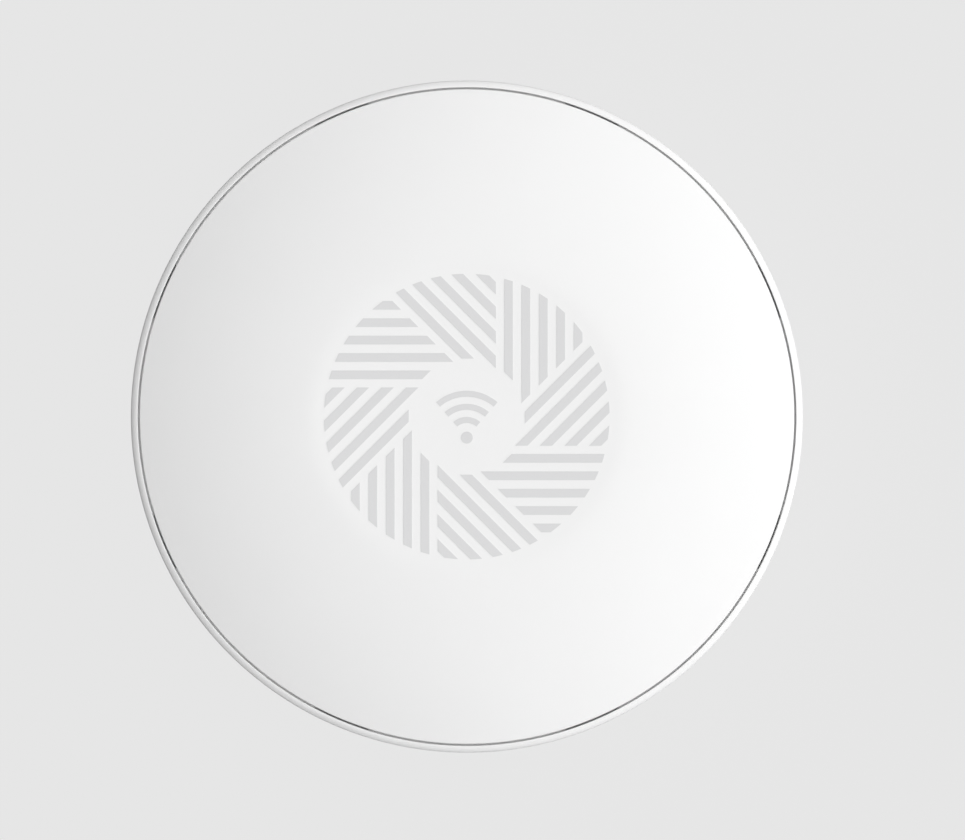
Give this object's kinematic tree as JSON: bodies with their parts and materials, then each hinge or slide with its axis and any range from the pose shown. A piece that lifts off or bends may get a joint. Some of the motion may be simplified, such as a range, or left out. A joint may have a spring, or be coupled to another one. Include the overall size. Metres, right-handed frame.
{
  "type": "ceiling access point",
  "caption": "Round ceiling-mounted wireless access point with a shallow domed face, a shadow gap with vent slots, a printed stripe pattern and a twist-on mounting bracket.",
  "frame": {"origin": "centre of the bracket's rear face, on the ceiling plane; the part is stored face up, so it is turned over to hang under a ceiling", "axes": "+Z out of the ceiling along the unit's axis towards the domed face; +Y towards the top of the printed icon; -Y towards the cable outlet"},
  "size_m": [0.18, 0.18, 0.0361],
  "materials": {
    "cover_plastic": "fine satin moulded plastic",
    "print_ink": "thin matt ink",
    "housing_plastic": "fine satin moulded plastic",
    "label_paper": "blank matt label",
    "board_laminate": "solder-masked laminate",
    "chip_epoxy": "moulded epoxy",
    "thermal_pad": "soft silicone pad",
    "sink_aluminium": "extruded, matt",
    "screw_steel": "zinc plated",
    "can_tin": "tinned sheet",
    "capacitor_sleeve": "printed sleeve without text",
    "jack_plastic": "moulded",
    "contact_gold": "gold flashed",
    "led_white": "clear-topped emitter",
    "pipe_clear": "polished clear acrylic",
    "antenna_tin": "tinned sheet",
    "cable_jacket": "extruded jacket",
    "button_plastic": "moulded",
    "stem_plastic": "moulded",
    "bracket_steel": "zinc-coloured paint",
    "lever_plastic": "moulded nylon",
    "spring_steel": "drawn wire"
  },
  "bodies": {
    "bracket": {"mounting_bracket": "bracket_steel", "latch_pin": "screw_steel", "latch_spring": "spring_steel"},
    "unit": {"front_cover": "cover_plastic", "printed_pattern": "print_ink", "printed_icon": "print_ink", "rear_housing": "housing_plastic", "rating_label": "label_paper", "main_board": "board_laminate", "processor_chip": "chip_epoxy", "radio_chips": "chip_epoxy", "memory_chips": "chip_epoxy", "thermal_pads": "thermal_pad", "heat_sink": "sink_aluminium", "heat_sink_screws": "screw_steel", "shield_can_left": "can_tin", "shield_can_right": "can_tin", "shield_can_top": "can_tin", "network_transformer": "chip_epoxy", "power_transformer": "chip_epoxy", "power_inductor": "chip_epoxy", "power_capacitors": "capacitor_sleeve", "rj45_jack": "jack_plastic", "rj45_contacts": "contact_gold", "status_led": "led_white", "light_pipe": "pipe_clear", "board_screws": "screw_steel", "antenna_1": "antenna_tin", "antenna_2": "antenna_tin", "antenna_3": "antenna_tin", "antenna_4": "antenna_tin", "antenna_cable_1": "cable_jacket", "antenna_cable_2": "cable_jacket", "antenna_cable_3": "cable_jacket", "antenna_cable_4": "cable_jacket", "antenna_plugs": "contact_gold", "antenna_screws": "screw_steel", "reset_switch": "jack_plastic"},
    "latch": {"latch_lever": "lever_plastic"},
    "reset_button": {"reset_plunger": "button_plastic", "switch_stem": "stem_plastic"}
  },
  "joints": [
    {"name": "unit_twist", "type": "hinge", "parent": "bracket", "child": "unit", "pos_m": [0, 0, 0], "axis": [0, 0, 1], "range_deg": [0, 15]},
    {"name": "latch_turn", "type": "hinge", "parent": "bracket", "child": "latch", "pos_m": [0.03157, 0.04132, 0.0031], "axis": [0, 0, 1], "range_deg": [-5.3, 0], "stiffness_Nm_per_rad": 0.02},
    {"name": "reset_press", "type": "slide", "parent": "unit", "child": "reset_button", "axis": [0, 0, 1], "range_m": [0, 0.0005], "stiffness_N_per_m": 1500}
  ],
  "couplings": [
    {"joint": "latch_turn", "follows": "unit_twist", "ratio": -0.35}
  ]
}
